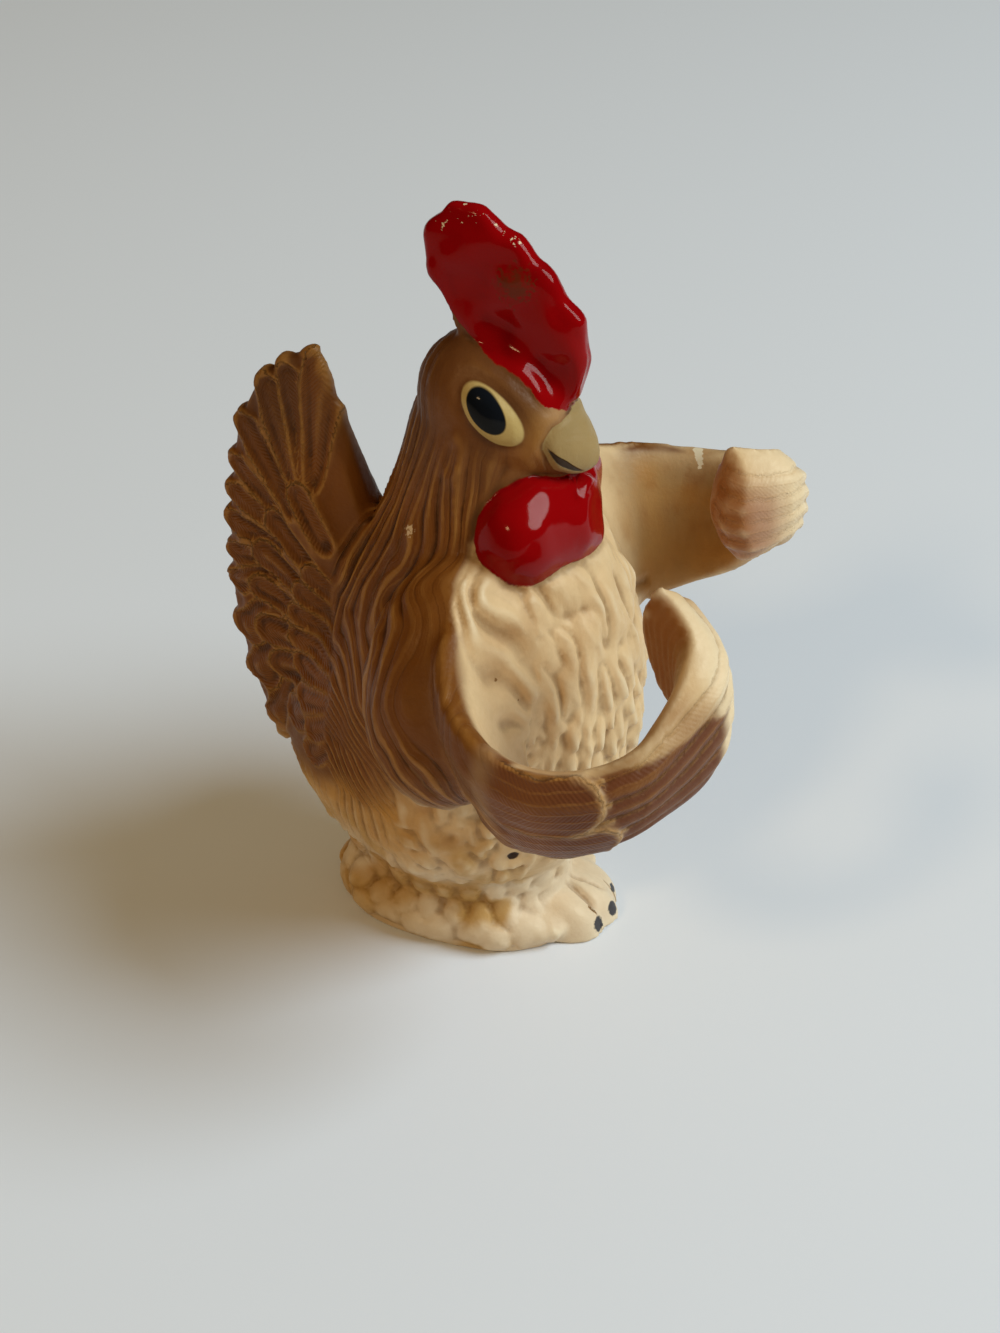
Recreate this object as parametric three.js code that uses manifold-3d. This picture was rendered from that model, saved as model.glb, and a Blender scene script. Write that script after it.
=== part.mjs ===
// Ceramic rooster that carries a pair of egg-shaped shakers in its curled wings.
// Units are millimetres. +X is forward, +Y the bird's left, +Z up. The origin is on the
// floor, under the middle of the foot.
import * as THREE from "three";
import { mergeVertices } from "three/addons/utils/BufferGeometryUtils.js";
import Module from "manifold-3d";

const wasm = await Module();
wasm.setup();

// The figure's own size. Its free forms are given as hundredths of this height.
const figureHeight = 140;
const pct = figureHeight / 100;

// The cradle that each wing makes for a shaker
const shakerWidth = 31; // widest part of the egg, at the level of the wing's rim
const shakerClearance = 0.5;
const wingWall = 5.4;
const cradleSlope = 0.4; // how much the wing opens outwards for each millimetre up
const rimLevel = 73; // height of the rim at its outermost point
const pocketRadius = shakerWidth / 2 + shakerClearance;
const cradleCentre = new THREE.Vector2(28, 32.5);

// The foot that the figure stands on
const footLength = 50;
const footWidth = 36;
const footHeight = 14;

// The tail fan and the comb, both upright plates along the middle of the bird
const tailRimThickness = 6;
const tailRootThickness = 13;
const tailFeathers = 11;
const tailScallop = 1.1; // from the tip of a feather to the notch beside it
const combThickness = 6.4;
const combTeeth = 8;
const combToothHeight = 0.45;

const radians = THREE.MathUtils.degToRad;

// Smooth values between the rows of a table: the first column is where, the rest is what.
function smoothTable(rows) {
  const where = rows.map((row) => row[0]);
  const what = rows.flatMap((row) => row.slice(1));
  const spline = new THREE.CubicInterpolant(where, what, rows[0].length - 1);
  return (at) => Array.from(spline.evaluate(THREE.MathUtils.clamp(at, where[0], where.at(-1))));
}

// Moves every vertex of a geometry to where place(vertex) says.
function shaped(geometry, place) {
  const position = geometry.getAttribute("position");
  const vertex = new THREE.Vector3();
  for (let i = 0; i < position.count; i++) {
    vertex.fromBufferAttribute(position, i);
    const moved = place(vertex.clone());
    position.setXYZ(i, moved.x, moved.y, moved.z);
  }
  return geometry;
}

// A closed geometry as a solid, turned right side out.
function solidOf(geometry) {
  geometry.deleteAttribute("normal");
  geometry.deleteAttribute("uv");
  const merged = mergeVertices(geometry, 1e-3);
  const mesh = () =>
    new wasm.Mesh({
      numProp: 3,
      vertProperties: new Float32Array(merged.getAttribute("position").array),
      triVerts: new Uint32Array(merged.index.array),
    });
  const solid = new wasm.Manifold(mesh());
  if (solid.volume() > 0) return solid;
  const index = merged.index.array;
  for (let i = 0; i < index.length; i += 3) {
    [index[i + 1], index[i + 2]] = [index[i + 2], index[i + 1]];
  }
  return new wasm.Manifold(mesh());
}

function geometryOf(solid) {
  const mesh = solid.getMesh();
  const geometry = new THREE.BufferGeometry();
  geometry.setAttribute("position", new THREE.BufferAttribute(mesh.vertProperties, 3));
  geometry.setIndex(new THREE.BufferAttribute(mesh.triVerts, 1));
  geometry.computeVertexNormals();
  return geometry;
}

const smoothstep = THREE.MathUtils.smoothstep;

// A round form given by its centre and half sizes, tilted nose-down by some degrees.
function egg(centre, half, tilt = 0, around = 20, rows = 14) {
  const geometry = new THREE.SphereGeometry(1, around, rows);
  geometry.scale(half[0], half[1], half[2]);
  geometry.rotateY(radians(tilt));
  geometry.translate(centre[0], centre[1], centre[2]);
  return geometry;
}

// Torso and neck: level ovals from the foot up into the head.
// Columns: height, back, front, half width, all in hundredths of the figure's height.
const torsoRows = [
  [5, -18, 12.5, 10.5],
  [9, -19.6, 13, 12],
  [14, -22.8, 15.6, 15],
  [20, -25.6, 19, 17.6],
  [28, -26.6, 20.8, 19.2],
  [36, -23.6, 21.4, 20],
  [44, -19.4, 21, 20],
  [51, -16.4, 19.2, 18],
  [57, -13.2, 16.4, 15],
  [62, -11, 13.2, 12],
  [67, -9.2, 11, 10],
  [73, -7.6, 9.8, 8.8],
  [79, -5, 6, 7],
];
const torsoTaper = 0.35; // how much the body narrows towards the tail

function torso() {
  const at = smoothTable(torsoRows.map((row) => row.map((share) => share * pct)));
  const low = torsoRows[0][0] * pct;
  const high = torsoRows.at(-1)[0] * pct;
  const around = 40;
  const levels = 22;
  const geometry = new THREE.CylinderGeometry(1, 1, 1, around, levels);
  return shaped(geometry, (v) => {
    const z = low + (v.y + 0.5) * (high - low);
    const angle = Math.atan2(v.z, v.x);
    const reach = Math.hypot(v.x, v.z);
    const [back, front, half] = at(z);
    // Hackle grooves run down the neck, and the breast is covered in round tufts.
    const neck = smoothstep(z, 48 * pct, 56 * pct) * smoothstep(Math.abs(angle), 0.9, 1.4);
    const hackle = neck * 0.4 * Math.cos((around / 2) * angle);
    const breast = (1 - smoothstep(Math.abs(angle), 0.9, 1.3)) * smoothstep(z, 14 * pct, 24 * pct);
    const row = Math.floor(((v.y + 0.5) * levels + 0.5) / 2);
    const tuft = breast * 0.55 * Math.cos((around / 4) * angle + Math.PI * (row % 2));
    const swell = reach > 0.5 ? hackle + tuft : 0;
    const long = (front - back) / 2 + swell;
    const narrowed = 1 - torsoTaper * Math.max(0, -Math.cos(angle));
    return new THREE.Vector3(
      (front + back) / 2 + reach * long * Math.cos(angle),
      reach * (half + swell) * narrowed * Math.sin(angle),
      z,
    );
  });
}

// The foot: a low rounded block with a flat underside and a skirt of curls.
function foot() {
  const curls = 11;
  const curlDepth = 0.8;
  const geometry = new THREE.CylinderGeometry(1, 1, 1, 44, 5);
  return shaped(geometry, (v) => {
    const up = v.y + 0.5;
    const angle = Math.atan2(v.z, v.x);
    const reach = Math.hypot(v.x, v.z);
    const dome = 0.93 + 0.09 * Math.sin(Math.PI * Math.min(1, up * 1.4)) - 0.32 * smoothstep(up, 0.45, 1);
    const curl = Math.cos(curls * angle + (up > 0.5 ? Math.PI : 0)) * curlDepth * Math.sin(Math.PI * up);
    const squareness = 1 + 0.09 * Math.sin(2 * angle) ** 2;
    const size = reach * dome * squareness;
    const heel = 1 + 0.1 * smoothstep(-Math.cos(angle), 0, 1);
    const instep = 1 - 0.3 * reach * smoothstep(Math.cos(angle), 0, 1);
    return new THREE.Vector3(
      (size * heel * footLength * 0.46 + reach * curl) * Math.cos(angle) - footLength * 0.025,
      (size * footWidth * 0.5 + reach * curl) * Math.sin(angle),
      up * footHeight * instep,
    );
  });
}

// Three toes at the front, the middle one longer.
// Columns: shares of the foot's width out, its length forward, its width and its height.
const toeRows = [
  [-0.17, 0.505, 0.105, 0.5],
  [0, 0.545, 0.1, 0.56],
  [0.17, 0.505, 0.105, 0.5],
];
const toeLength = footLength * 0.38;

function toes() {
  return toeRows.map(([out, forward, wide, tall]) => {
    const half = [toeLength / 2, footWidth * wide, footHeight * tall];
    return egg([footLength * forward - toeLength / 2, footWidth * out, 0.3], half, 0, 12, 8);
  });
}

// One wing: a strip of a cone that opens upwards around the shaker, from the shoulder
// round the outside and the front to the tip. side is 1 for the left wing, -1 for the right.
// Columns: degrees round the cradle, the rim and the lower edge above rimLevel, the share
// of the cradle's radius at rimLevel, and the share of its slope.
const wingRows = [
  [-205, 11, -27, 1, 1],
  [-180, 7.5, -28, 1, 1],
  [-140, 2.6, -25.5, 1, 1],
  [-90, 0.6, -23, 1, 0.95],
  [-45, 3.6, -17.6, 0.97, 0.85],
  [-19, 7.4, -12.6, 0.87, 0.45],
  [12, 14, -7.4, 1, -0.2],
  [36, 18, -4, 0.86, -0.5],
  [56, 18.6, -3.5, 0.825, -0.5],
];
const wingRidges = 4;
const wingRidgeHeight = 0.8;
const wingCrown = 2; // how much thicker the wall is midway between its edges
const tipSwelling = 1.4; // how much thicker the wall is at the tip
const tipRounding = 18; // degrees by which the corners of the tip are drawn back
// The wings aren't quite alike: the right one hangs a little lower on the outside of its curl,
// the left one rises at its front and is arched beneath.
// Columns: degrees round the cradle, change of the rim, of the lower edge and of the reach.
const rightChange = [
  [-205, 0, 0, 0],
  [-80, 0, 0, 0],
  [-46, 0, -1.8, 0],
  [-16, 0, -5.2, 0.2],
  [8, 0, -4.8, 0.1],
  [30, 0.6, -1.8, 0.8],
  [56, 2.2, 0, 0.6],
];
const leftChange = [
  [-205, 0, 0, 0],
  [-140, 1, 0, 0],
  [-90, 1.1, 0, 0],
  [-30, 1.4, 0.3, -0.2],
  [-8, 2.6, 2.2, -0.4],
  [10, 2.8, 6, -0.4],
  [22, 1.5, 4.2, 0],
  [33, 0.3, 1.5, 0],
  [56, -0.4, 0, 0],
];

function wing(side) {
  const at = smoothTable(wingRows);
  const change = smoothTable(side < 0 ? rightChange : leftChange);
  const from = wingRows[0][0];
  const to = wingRows.at(-1)[0];
  const geometry = new THREE.BoxGeometry(1, 1, 1, 30, 5, 2);
  return shaped(geometry, (v) => {
    const along = v.x + 0.5;
    const across = v.y + 0.5;
    const depth = v.z + 0.5;
    const atEdge = Math.abs(v.y) > 0.49 || v.x > 0.49;
    const corner = tipRounding * (2 * v.y) ** 2 * smoothstep(along, 0.7, 1);
    const turn = from + along * (to - from) - corner;
    const [rim, lowerEdge, wide, steep] = at(turn);
    const [rimChange, lowChange, reachChange] = change(turn);
    const edging = atEdge && depth !== 0.5 ? Math.sign(v.y) : 0;
    const level = THREE.MathUtils.lerp(lowerEdge + lowChange, rim + rimChange, across) - edging;
    const ridge = Math.abs(Math.sin(Math.PI * wingRidges * across)) * smoothstep(along, 0.25, 0.4);
    const swell = tipSwelling * smoothstep(along, 0.75, 0.9) + wingRidgeHeight * ridge;
    const wall = wingWall + swell + wingCrown * (1 - 4 * v.y * v.y);
    const inWall = atEdge ? 0.5 + (depth - 0.5) * 0.6 : depth;
    const inside = wide * pocketRadius + steep * cradleSlope * level;
    const reach = inside + reachChange + inWall * wall;
    return new THREE.Vector3(
      cradleCentre.x + reach * Math.cos(radians(turn)),
      side * (cradleCentre.y - reach * Math.sin(radians(turn))),
      rimLevel + level,
    );
  });
}

// The room that a shaker takes in its cradle.
function pocket(side) {
  const floorRadius = 2;
  const depth = (pocketRadius - floorRadius) / cradleSlope;
  const height = figureHeight - rimLevel;
  const profile = [
    new THREE.Vector2(0, -depth),
    new THREE.Vector2(floorRadius, -depth),
    new THREE.Vector2(pocketRadius + cradleSlope * height, height),
    new THREE.Vector2(0, height),
  ];
  const room = new THREE.LatheGeometry(profile, 24);
  room.rotateX(Math.PI / 2);
  room.translate(cradleCentre.x, side * cradleCentre.y, rimLevel);
  return room;
}

// The mass of the shoulder, which flows from the neck out into the wing.
const shoulderCentre = [3.2 * pct, 17.2 * pct, 47.2 * pct];
const shoulderHalf = [10.7 * pct, 9.6 * pct, 15.4 * pct];
const shoulderLean = 24; // degrees outwards, going down

function shoulder(side) {
  const mass = egg([0, 0, 0], shoulderHalf, 0, 18, 12);
  mass.rotateX(side * radians(shoulderLean));
  mass.translate(shoulderCentre[0], side * shoulderCentre[1], shoulderCentre[2]);
  return mass;
}

// The tail: a fan of feathers about a point inside the back.
// Columns: degrees from forward, reach of the rim in hundredths of the height.
const tailHub = new THREE.Vector2(-7 * pct, 41.5 * pct);
const tailRows = [
  [108.5, 39.8],
  [113, 40],
  [121, 38.8],
  [130, 36.1],
  [140, 32.4],
  [150, 29.8],
  [164, 27.4],
  [180, 26.4],
  [195, 26.4],
  [210, 27.2],
  [227, 29.6],
];

function tail() {
  const at = smoothTable(tailRows);
  const from = tailRows[0][0];
  const to = tailRows.at(-1)[0];
  const hubReach = 6;
  const geometry = new THREE.BoxGeometry(1, 1, 1, 44, 9, 2);
  return shaped(geometry, (v) => {
    const round = v.x + 0.5;
    const out = v.y + 0.5;
    const degrees = from + round * (to - from);
    const feather = Math.abs(Math.sin(Math.PI * tailFeathers * round));
    const scallop = tailScallop * (feather - 0.5) * smoothstep(out, 0.6, 1);
    const reach = THREE.MathUtils.lerp(hubReach, at(degrees)[0] * pct, out) + scallop;
    // The fan is thin at its rim and at the top, and thickens towards the back.
    const plate = THREE.MathUtils.lerp(tailRootThickness, tailRimThickness, smoothstep(out, 0.3, 0.9));
    const lower = 5 * smoothstep(round, 0.45, 1) * (1 - 0.6 * out);
    const atEdge = out > 0.99 || Math.abs(v.x) > 0.495;
    const thinFront = THREE.MathUtils.lerp(0.6, 1, smoothstep(round, 0, 0.2));
    const ridge = 0.55 * (feather - 0.4) * smoothstep(out, 0.3, 0.5);
    // A row of shorter feathers lies over the roots of the long ones.
    const shorter = Math.abs(Math.sin(Math.PI * (tailFeathers - 2) * (round + 0.05)));
    const covert = 0.9 * (1 - smoothstep(out - 0.1 * shorter, 0.42, 0.56));
    const body = (plate + lower) * thinFront;
    const thickness = atEdge ? 0.55 * body : body + 2 * (ridge + covert * thinFront);
    return new THREE.Vector3(
      tailHub.x + reach * Math.cos(radians(degrees)),
      v.z * thickness,
      tailHub.y + reach * Math.sin(radians(degrees)),
    );
  });
}

// Head, beak and wattles: where each one's centre is, and its half sizes.
const headCentre = [3.2 * pct, 0, 75.6 * pct];
const headHalf = [10.2 * pct, 8.3 * pct, 8.8 * pct];
const headTilt = 34; // degrees nose-down
const beakCentre = [9.4 * pct, 0, 72.7 * pct];
const beakHalf = [5.7 * pct, 5.7 * pct, 5.3 * pct];
const beakDroop = 1.9 * pct;
const wattleCentre = [8.1 * pct, 6.4 * pct, 62.9 * pct];
const wattleHalf = [5.1 * pct, 7.1 * pct, 6.6 * pct];
const throatLobeCentre = [12 * pct, 0, 62.2 * pct];
const throatLobeHalf = [4.1 * pct, 5.5 * pct, 5.5 * pct];

function head() {
  return egg(headCentre, headHalf, headTilt, 22, 14);
}

function beak() {
  const geometry = new THREE.SphereGeometry(1, 16, 14);
  return shaped(geometry, (v) => {
    const forward = Math.max(0, v.x);
    const taper = 1 - 0.4 * forward * forward;
    const flatter = 1 - 0.2 * forward;
    return new THREE.Vector3(
      beakCentre[0] + beakHalf[0] * v.x,
      beakHalf[1] * v.z * taper,
      beakCentre[2] + beakHalf[2] * v.y * flatter - beakDroop * forward ** 1.5,
    );
  });
}

function wattle(side) {
  const centre = [wattleCentre[0], side * wattleCentre[1], wattleCentre[2]];
  return egg(centre, wattleHalf, 0, 16, 12);
}

// The lobe between the two wattles, in front of the throat.
function throatLobe() {
  return egg(throatLobeCentre, throatLobeHalf, 0, 14, 10);
}

// The comb: an upright plate whose rim is toothed.
// Columns: share of the way from back to front, then the foot line and the rim, in
// hundredths of the height, each as forward and up.
const combRows = [
  [0, -0.6, 82.6, -1.4, 85.6],
  [0.08, 0, 82.3, -3.6, 89.8],
  [0.16, 0.5, 82, -5.1, 94.2],
  [0.3, 2.6, 81, -2.2, 99.4],
  [0.5, 5.2, 79.5, 4.4, 96.2],
  [0.7, 7.6, 78, 10.4, 90.4],
  [0.86, 9.6, 76.6, 14.4, 83.6],
  [1, 10.6, 75.6, 12.6, 76.6],
];

function comb() {
  const at = smoothTable(combRows);
  const geometry = new THREE.BoxGeometry(1, 1, 1, 32, 4, 2);
  return shaped(geometry, (v) => {
    const along = v.x + 0.5;
    const out = v.y + 0.5;
    const [footX, footZ, rimX, rimZ] = at(along).map((share) => share * pct);
    const toothed = smoothstep(along, 0.22, 0.34) * (1 - smoothstep(along, 0.82, 0.95));
    const tooth = combToothHeight * toothed * out * Math.sin(2 * Math.PI * combTeeth * along);
    const share = out * (1 + tooth / Math.hypot(rimX - footX, rimZ - footZ));
    const edge = out > 0.99 || Math.abs(v.x) > 0.49 ? 0.45 : 1;
    const hollow = 0.8 * Math.sin(Math.PI * along) * Math.sin(Math.PI * out);
    return new THREE.Vector3(
      THREE.MathUtils.lerp(footX, rimX, share),
      v.z * (combThickness - 1.2 * out - hollow) * edge,
      THREE.MathUtils.lerp(footZ, rimZ, share),
    );
  });
}

const sides = [-1, 1];
const add = (whole, form) => whole.add(form);
const cut = (whole, form) => whole.subtract(form);
const body = [torso(), ...sides.map(shoulder)].map(solidOf).reduce(add);
const cradled = sides.map(pocket).map(solidOf).reduce(cut, body);
const face = [head(), beak(), comb(), ...sides.map(wattle), throatLobe()];
const outer = [foot(), ...toes(), ...face, tail(), ...sides.map(wing)];
const joined = outer.map(solidOf).reduce(add, cradled);
const floor = new THREE.BoxGeometry(4 * figureHeight, 4 * figureHeight, figureHeight);
floor.translate(0, 0, -figureHeight / 2);
const figure = joined.subtract(solidOf(floor));

const glazedCeramic = new THREE.MeshStandardMaterial({ color: 0x9a6a3c, roughness: 0.5, metalness: 0 });
const rooster = new THREE.Mesh(geometryOf(figure), glazedCeramic);
rooster.name = "rooster";

const model = new THREE.Group();
model.add(rooster);

export default model;
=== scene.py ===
# Ceramic rooster that holds two egg-shaped shakers in its wings.
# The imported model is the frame. The carving, the paint and the glaze are made here.
import math

import bmesh
import bpy
import numpy as np
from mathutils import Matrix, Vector


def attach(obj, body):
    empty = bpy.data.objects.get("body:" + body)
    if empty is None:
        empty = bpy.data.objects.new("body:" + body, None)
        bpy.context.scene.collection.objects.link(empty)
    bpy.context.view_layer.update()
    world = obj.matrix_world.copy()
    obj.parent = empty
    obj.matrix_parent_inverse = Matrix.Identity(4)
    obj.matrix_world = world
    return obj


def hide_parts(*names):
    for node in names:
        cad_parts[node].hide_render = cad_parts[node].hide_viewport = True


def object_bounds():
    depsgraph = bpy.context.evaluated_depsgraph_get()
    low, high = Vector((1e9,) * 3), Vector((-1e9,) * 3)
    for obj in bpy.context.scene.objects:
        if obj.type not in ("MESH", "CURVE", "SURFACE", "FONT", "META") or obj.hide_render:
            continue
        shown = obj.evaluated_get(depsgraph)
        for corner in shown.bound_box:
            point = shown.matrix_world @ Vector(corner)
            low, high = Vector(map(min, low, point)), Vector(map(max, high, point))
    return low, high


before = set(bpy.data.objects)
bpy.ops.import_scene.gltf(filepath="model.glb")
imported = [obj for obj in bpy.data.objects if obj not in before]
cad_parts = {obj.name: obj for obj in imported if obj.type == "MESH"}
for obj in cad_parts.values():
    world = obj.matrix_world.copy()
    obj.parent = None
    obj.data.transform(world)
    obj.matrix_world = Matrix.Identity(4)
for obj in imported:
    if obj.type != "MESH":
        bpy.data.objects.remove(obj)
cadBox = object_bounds()
print("frame loaded")

mm = 0.001  # the carving is worked out in millimetres, the mesh is in metres


def ramp(value, low, high):
    share = np.clip((value - low) / (high - low), 0.0, 1.0)
    return share * share * (3.0 - 2.0 * share)


def bell(value, width):
    return np.exp(-((value / width) ** 2))


def cloud(points, size, seed):
    # soft random values from -1 to 1, the same on every run
    scaled = points / size
    corner = np.floor(scaled).astype(np.int64)
    inside = scaled - corner
    inside = inside * inside * (3.0 - 2.0 * inside)
    total = np.zeros(len(points))
    for step in np.ndindex(2, 2, 2):
        at = corner + np.array(step)
        mixed = at[:, 0] * 73856093 ^ at[:, 1] * 19349663 ^ at[:, 2] * 83492791 ^ (seed * 2654435761)
        mixed = (mixed ^ (mixed >> 13)) * 1274126177
        value = ((mixed ^ (mixed >> 16)) & 65535) / 32767.5 - 1.0
        weight = np.ones(len(points))
        for axis in range(3):
            weight *= inside[:, axis] if step[axis] else 1.0 - inside[:, axis]
        total += weight * value
    return total


# The casting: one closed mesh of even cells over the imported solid.
castSettings = {
    "node": "rooster",
    "cell": 0.00052,
    "roundPasses": 60,
    "filletPasses": 46,
    "softenPasses": 70,
    "gapPasses": 50,
    "lastRoundPasses": 10,
    "dipPasses": 26,
    "toeBlend": 0.4,
    "triangles": 190000,
}


def castMesh(node):
    shell = bmesh.new()
    shell.from_mesh(node.data)
    bmesh.ops.transform(shell, matrix=node.matrix_world, verts=shell.verts)
    bmesh.ops.remove_doubles(shell, verts=shell.verts, dist=0.00001)
    mesh = bpy.data.meshes.new("rooster_casting")
    shell.to_mesh(mesh)
    shell.free()
    casting = bpy.data.objects.new("rooster_casting", mesh)
    bpy.context.scene.collection.objects.link(casting)
    cells = casting.modifiers.new("Even cells", "REMESH")
    cells.mode = "VOXEL"
    cells.voxel_size = castSettings["cell"]
    graph = bpy.context.evaluated_depsgraph_get()
    fine = bpy.data.meshes.new_from_object(casting.evaluated_get(graph))
    casting.modifiers.clear()
    casting.data = fine
    return casting


casting = castMesh(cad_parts[castSettings["node"]])
fine = casting.data
count = len(fine.vertices)
points = np.empty(count * 3)
fine.vertices.foreach_get("co", points)
points = points.reshape(count, 3) / mm
edges = np.empty(len(fine.edges) * 2, dtype=np.int32)
fine.edges.foreach_get("vertices", edges)
edges = edges.reshape(-1, 2)
quads = np.array([tuple(face.vertices)[:4] for face in fine.polygons if len(face.vertices) == 4])
valence = np.bincount(edges.ravel(), minlength=count).astype(float)
print("casting made of", count, "points")


def neighbours(values):
    flat = values.reshape(count, -1)
    total = np.empty_like(flat)
    for column in range(flat.shape[1]):
        total[:, column] = np.bincount(edges[:, 0], flat[edges[:, 1], column], count)
        total[:, column] += np.bincount(edges[:, 1], flat[edges[:, 0], column], count)
    return (total / valence[:, None]).reshape(values.shape)


def outward(at):
    face = np.cross(at[quads[:, 2]] - at[quads[:, 0]], at[quads[:, 3]] - at[quads[:, 1]])
    total = np.zeros((count, 3))
    for corner in range(4):
        for axis in range(3):
            total[:, axis] += np.bincount(quads[:, corner], face[:, axis], count)
    length = np.linalg.norm(total, axis=1)
    return total / np.maximum(length, 1e-9)[:, None]


def roundOff(at, passes):
    # takes the facets away and keeps the size
    for _ in range(passes):
        at = at + 0.5 * (neighbours(at) - at)
        at = at - 0.53 * (neighbours(at) - at)
    return at


def fillHollows(at, passes, weight):
    # fills the sharp joins between forms, as thick slip and glaze do
    for turn in range(passes):
        if turn % 4 == 0:
            normal = outward(at)
        rise = np.einsum("ij,ij->i", neighbours(at) - at, normal)
        at = at + normal * (np.clip(rise, 0.0, None) * 0.6 * weight)[:, None]
    return at


def blendLevel(at, middles, halves, blend):
    # one on the skin that wraps several rounded forms, less inside it
    away = np.stack([np.linalg.norm((at - middle) / half, axis=1) for middle, half in zip(middles, halves)])
    nearest = away.min(axis=0)
    pull = np.exp((nearest - away) / blend)
    return nearest - blend * np.log(pull.sum(axis=0)), away, pull / pull.sum(axis=0)


def blendForms(at, middles, halves, blend, part):
    # fills the creases between rounded forms that read as one mass
    for _ in range(3):
        offsets = [at - middle for middle in middles]
        level, away, shares = blendLevel(at, middles, halves, blend)
        shares = shares / np.maximum(away, 0.1)
        slope = sum(share[:, None] * off / half ** 2 for share, off, half in zip(shares, offsets, halves))
        size = np.maximum(np.sum(slope ** 2, axis=1), 0.0001)
        step = np.clip(1 - level, 0, 0.5) * part * (level > 0.5)
        at = at + slope * (step / size)[:, None]
    return at


# Places on the bird, in millimetres, that the carving and the paint share.
birdForm = {
    "cradle": (28.0, 32.5),
    "rimLevel": 73.0,
    "pocketRadius": 16.0,
    "cradleSlope": 0.4,
    "tailHub": (-9.8, 58.1),
    "wattle": (11.3, 9.0, 88.0),
    "wattleHalf": (7.2, 10.0, 9.2),
    "throatLobe": (16.8, 0.0, 87.1),
    "throatLobeHalf": (5.8, 7.7, 7.7),
    "toes": ((15.75, -6.1, 0.3), (17.75, 0.0, 0.3), (15.75, 6.1, 0.3)),
    "toeHalf": (9.5, 4.1, 7.2),
    "shadedHole": (13.6, -19.3, 27.4),
}
# degrees round the cradle, rim, lower edge, share of the radius, share of the slope
wingRows = np.array([
    [-205, 11, -27, 1, 1],
    [-180, 7.5, -28, 1, 1],
    [-140, 2.6, -25.5, 1, 1],
    [-90, 0.6, -23, 1, 0.95],
    [-45, 3.6, -17.6, 0.97, 0.85],
    [-19, 7.4, -12.6, 0.87, 0.45],
    [12, 14, -7.4, 1, -0.2],
    [36, 18, -4, 0.86, -0.5],
    [56, 18.6, -3.5, 0.825, -0.5],
])
# degrees round the cradle, change of the rim, of the lower edge and of the reach
rightChange = np.array([
    [-205, 0, 0, 0],
    [-80, 0, 0, 0],
    [-46, 0, -1.8, 0],
    [-16, 0, -5.2, 0.2],
    [8, 0, -4.8, 0.1],
    [30, 0.6, -1.8, 0.8],
    [56, 2.2, 0, 0.6],
])
leftChange = np.array([
    [-205, 0, 0, 0],
    [-140, 1, 0, 0],
    [-90, 1.1, 0, 0],
    [-30, 1.4, 0.3, -0.2],
    [-8, 2.6, 2.2, -0.4],
    [10, 2.8, 6, -0.4],
    [22, 1.5, 4.2, 0],
    [33, 0.3, 1.5, 0],
    [56, -0.4, 0, 0],
])
# degrees round the hub, reach of the tail's rim
tailRows = np.array([
    [108.5, 55.7], [113, 56], [121, 54.3], [130, 50.5], [140, 45.4], [150, 41.7],
    [164, 38.4], [180, 37.0], [195, 37.0], [210, 38.1], [227, 41.4],
])


# the two wattles and the throat lobe read as one red mass
lobes = [np.array(birdForm["wattle"]) * (1, sign, 1) for sign in (-1, 1)]
lobes.append(np.array(birdForm["throatLobe"]))
lobeHalves = [np.array(birdForm[name]) for name in ("wattleHalf", "wattleHalf", "throatLobeHalf")]
lobeBlend = 0.3


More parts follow.
